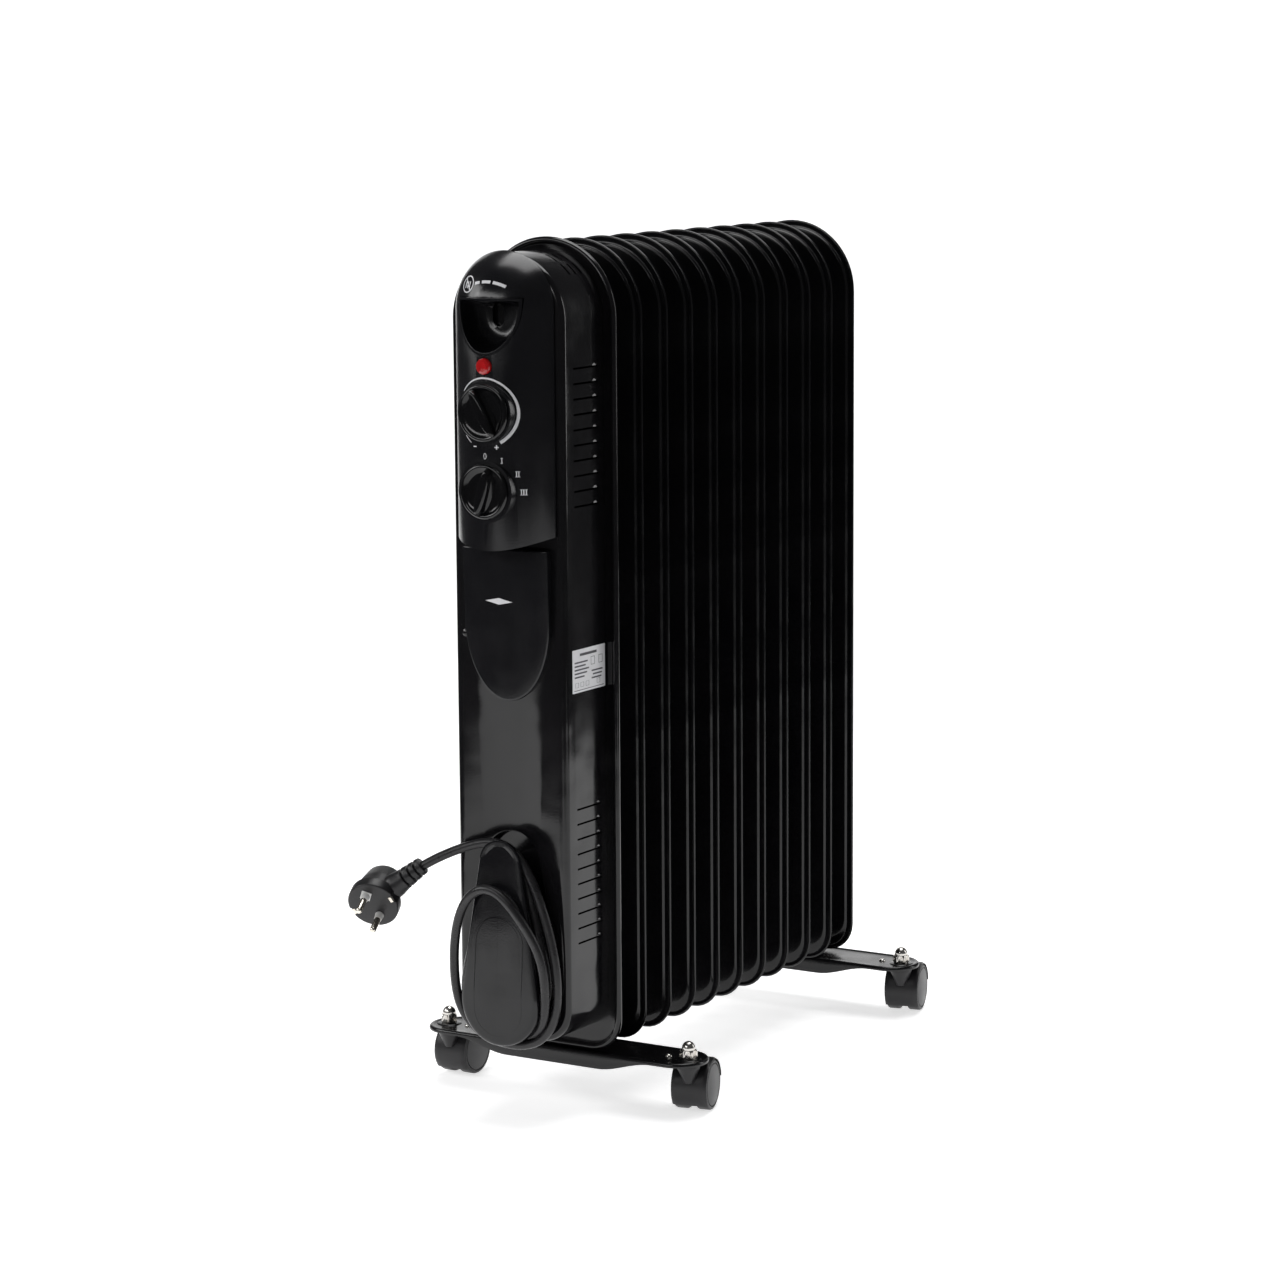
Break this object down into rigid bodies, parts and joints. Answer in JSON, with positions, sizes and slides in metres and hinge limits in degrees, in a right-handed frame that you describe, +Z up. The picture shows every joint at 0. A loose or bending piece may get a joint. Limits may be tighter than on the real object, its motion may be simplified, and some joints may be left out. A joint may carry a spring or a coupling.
{
  "type": "oil filled radiator heater",
  "caption": "Tall electric radiator with pressed black oil fins, a rounded control tower with two dials and a hand grip, a cord winder, steel feet and swivel castors.",
  "frame": {"origin": "on the floor, under the middle of the object without its cord", "axes": "+Z up, -Y out of the control panel, +X to the right seen from the front"},
  "size_m": [0.2375, 0.5169, 0.636],
  "materials": {
    "fin_paint": "gloss black powder coat",
    "housing_paint": "gloss black powder coat",
    "panel_plastic": "semi-gloss black moulding",
    "knob_plastic": "gloss black moulding",
    "lamp_red": "clear red, faceted inside",
    "steel": "zinc plated",
    "cord_rubber": "satin black flex",
    "pin_nickel": "nickel plated brass",
    "foot_paint": "gloss black powder coat",
    "castor_plastic": "satin black moulding",
    "nut_chrome": "bright chrome"
  },
  "bodies": {
    "root": {"fin_01": "fin_paint", "fin_02": "fin_paint", "fin_03": "fin_paint", "fin_04": "fin_paint", "fin_05": "fin_paint", "fin_06": "fin_paint", "fin_07": "fin_paint", "fin_08": "fin_paint", "fin_09": "fin_paint", "fin_10": "fin_paint", "fin_11": "fin_paint", "front_end_plate": "housing_paint", "control_housing": "housing_paint", "control_panel": "panel_plastic", "handle_bowl": "panel_plastic", "badge_shield": "panel_plastic", "winder_cap": "panel_plastic", "winder_core": "panel_plastic", "thermostat_body": "knob_plastic", "switch_body": "knob_plastic", "pilot_lamp_lens": "lamp_red", "heating_element": "steel", "filler_plug": "steel", "cord_gland": "cord_rubber", "cord_winding": "cord_rubber", "cord_front_loop": "cord_rubber", "cord_tail": "cord_rubber", "plug_body": "cord_rubber", "plug_pin_a": "pin_nickel", "plug_pin_b": "pin_nickel", "foot_front": "foot_paint", "foot_rear": "foot_paint", "castor_stem_fr": "steel", "acorn_nut_fr": "nut_chrome", "castor_stem_fl": "steel", "acorn_nut_fl": "nut_chrome", "castor_stem_rr": "steel", "acorn_nut_rr": "nut_chrome", "castor_stem_rl": "steel", "acorn_nut_rl": "nut_chrome"},
    "thermostat": {"thermostat_knob": "knob_plastic", "thermostat_shaft": "steel"},
    "switch": {"switch_knob": "knob_plastic", "switch_shaft": "steel"},
    "castor_fr": {"castor_hood_fr": "castor_plastic", "castor_axle_fr": "steel"},
    "wheel_fr_a": {"wheel_fr_a": "castor_plastic"},
    "wheel_fr_b": {"wheel_fr_b": "castor_plastic"},
    "castor_fl": {"castor_hood_fl": "castor_plastic", "castor_axle_fl": "steel"},
    "wheel_fl_a": {"wheel_fl_a": "castor_plastic"},
    "wheel_fl_b": {"wheel_fl_b": "castor_plastic"},
    "castor_rr": {"castor_hood_rr": "castor_plastic", "castor_axle_rr": "steel"},
    "wheel_rr_a": {"wheel_rr_a": "castor_plastic"},
    "wheel_rr_b": {"wheel_rr_b": "castor_plastic"},
    "castor_rl": {"castor_hood_rl": "castor_plastic", "castor_axle_rl": "steel"},
    "wheel_rl_a": {"wheel_rl_a": "castor_plastic"},
    "wheel_rl_b": {"wheel_rl_b": "castor_plastic"}
  },
  "joints": [
    {"name": "thermostat_turn", "type": "hinge", "parent": "root", "child": "thermostat", "pos_m": [0, -0.235, 0.5165], "axis": [0, 1, 0], "range_deg": [-121, 179]},
    {"name": "switch_turn", "type": "hinge", "parent": "root", "child": "switch", "pos_m": [0, -0.235, 0.461], "axis": [0, 1, 0], "range_deg": [-16, 74]},
    {"name": "castor_fr_swivel", "type": "hinge", "parent": "root", "child": "castor_fr", "pos_m": [0.1048, -0.1351, 0.03], "axis": [0, 0, 1], "continuous": true},
    {"name": "wheel_fr_a_roll", "type": "hinge", "parent": "castor_fr", "child": "wheel_fr_a", "pos_m": [0.09208, -0.1191, 0.0185], "axis": [0.9732, 0.23, 0], "continuous": true},
    {"name": "wheel_fr_b_roll", "type": "hinge", "parent": "castor_fr", "child": "wheel_fr_b", "pos_m": [0.10901, -0.1151, 0.0185], "axis": [0.9732, 0.23, 0], "continuous": true},
    {"name": "castor_fl_swivel", "type": "hinge", "parent": "root", "child": "castor_fl", "pos_m": [-0.1048, -0.1351, 0.03], "axis": [0, 0, 1], "continuous": true},
    {"name": "wheel_fl_a_roll", "type": "hinge", "parent": "castor_fl", "child": "wheel_fl_a", "pos_m": [-0.11382, -0.11675, 0.0185], "axis": [0.9998, 0.0175, 0], "continuous": true},
    {"name": "wheel_fl_b_roll", "type": "hinge", "parent": "castor_fl", "child": "wheel_fl_b", "pos_m": [-0.09642, -0.11645, 0.0185], "axis": [0.9998, 0.0175, 0], "continuous": true},
    {"name": "castor_rr_swivel", "type": "hinge", "parent": "root", "child": "castor_rr", "pos_m": [0.1048, 0.2018, 0.03], "axis": [0, 0, 1], "continuous": true},
    {"name": "wheel_rr_a_roll", "type": "hinge", "parent": "castor_rr", "child": "wheel_rr_a", "pos_m": [0.09208, 0.2178, 0.0185], "axis": [0.9732, 0.23, 0], "continuous": true},
    {"name": "wheel_rr_b_roll", "type": "hinge", "parent": "castor_rr", "child": "wheel_rr_b", "pos_m": [0.10901, 0.22181, 0.0185], "axis": [0.9732, 0.23, 0], "continuous": true},
    {"name": "castor_rl_swivel", "type": "hinge", "parent": "root", "child": "castor_rl", "pos_m": [-0.1048, 0.2018, 0.03], "axis": [0, 0, 1], "continuous": true},
    {"name": "wheel_rl_a_roll", "type": "hinge", "parent": "castor_rl", "child": "wheel_rl_a", "pos_m": [-0.11084, 0.22133, 0.0185], "axis": [0.9903, -0.1392, 0], "continuous": true},
    {"name": "wheel_rl_b_roll", "type": "hinge", "parent": "castor_rl", "child": "wheel_rl_b", "pos_m": [-0.09361, 0.21891, 0.0185], "axis": [0.9903, -0.1392, 0], "continuous": true}
  ]
}
